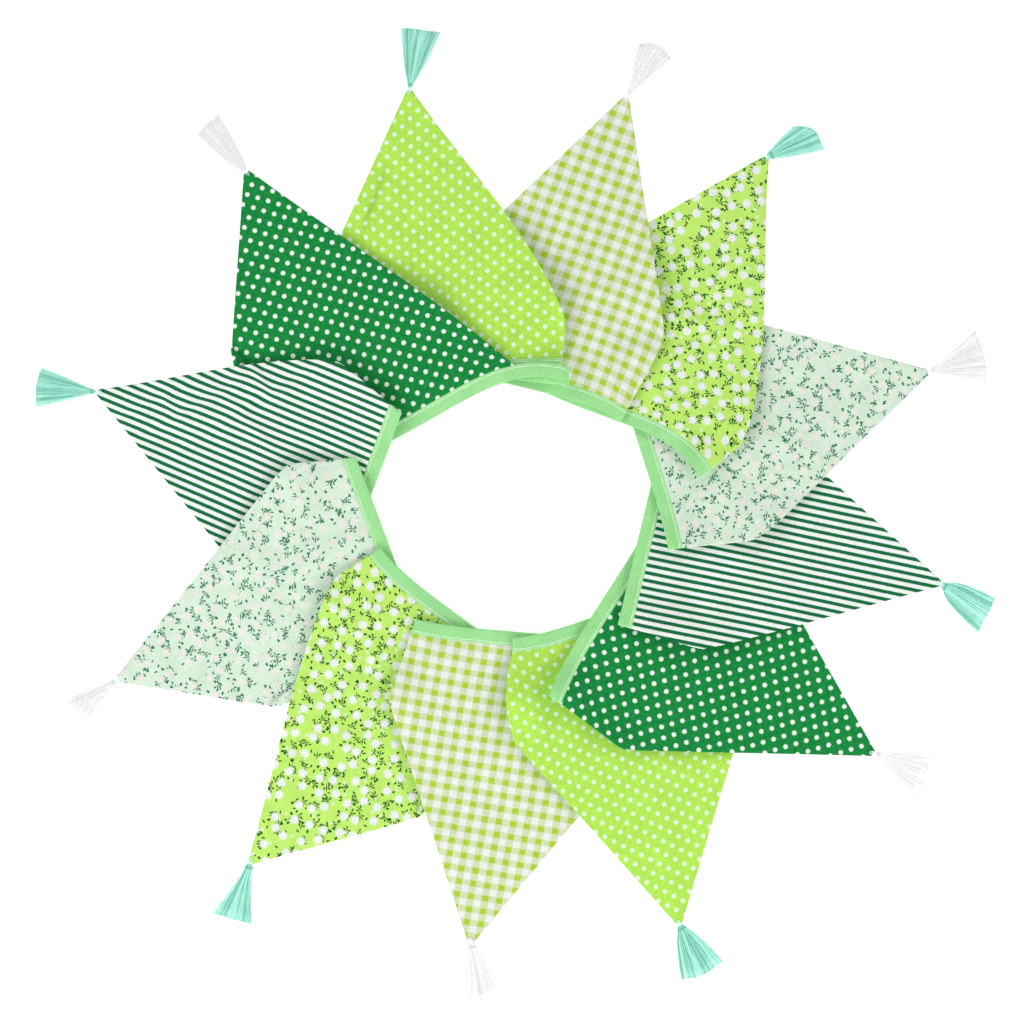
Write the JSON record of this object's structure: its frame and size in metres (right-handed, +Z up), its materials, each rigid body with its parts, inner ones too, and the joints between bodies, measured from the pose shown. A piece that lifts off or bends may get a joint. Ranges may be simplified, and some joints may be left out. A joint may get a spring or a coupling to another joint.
{
  "type": "fabric bunting garland",
  "caption": "Triangular double cotton flags in green prints on a folded bias tape, a tassel at each tip, laid flat and pleated into a ring.",
  "frame": {"origin": "middle of the garland's outline in plan, on the surface that it lies on", "axes": "+Z up from the surface, +Y toward the first flag's side of the ring, which is the top of the ring seen from above"},
  "size_m": [0.6714, 0.6844, 0.0125],
  "materials": {
    "lime_dots": "matt plain-weave cotton printed with pale dots",
    "gingham": "matt plain-weave cotton with a lime and white check",
    "lime_floral": "matt plain-weave cotton printed with small daisies",
    "mint_floral": "matt plain-weave cotton printed with small sprigs",
    "stripes": "matt plain-weave cotton with green and white stripes",
    "green_dots": "matt plain-weave cotton printed with white dots",
    "tape": "smooth folded cotton bias tape with a stitched edge",
    "mint_yarn": "silky thread",
    "white_yarn": "silky thread"
  },
  "bodies": {
    "root": {"bias_tape": "tape", "flag_01_lime_dots": "lime_dots", "flag_02_gingham": "gingham", "flag_03_lime_floral": "lime_floral", "flag_04_mint_floral": "mint_floral", "flag_05_stripes": "stripes", "flag_06_green_dots": "green_dots", "flag_07_lime_dots": "lime_dots", "flag_08_gingham": "gingham", "flag_09_lime_floral": "lime_floral", "flag_10_mint_floral": "mint_floral", "flag_11_stripes": "stripes", "flag_12_green_dots": "green_dots", "tassel_01_mint": "mint_yarn", "tassel_02_white": "white_yarn", "tassel_03_mint": "mint_yarn", "tassel_04_white": "white_yarn", "tassel_05_mint": "mint_yarn", "tassel_06_white": "white_yarn", "tassel_07_mint": "mint_yarn", "tassel_08_white": "white_yarn", "tassel_09_mint": "mint_yarn", "tassel_10_white": "white_yarn", "tassel_11_mint": "mint_yarn", "tassel_12_white": "white_yarn"}
  },
  "joints": []
}
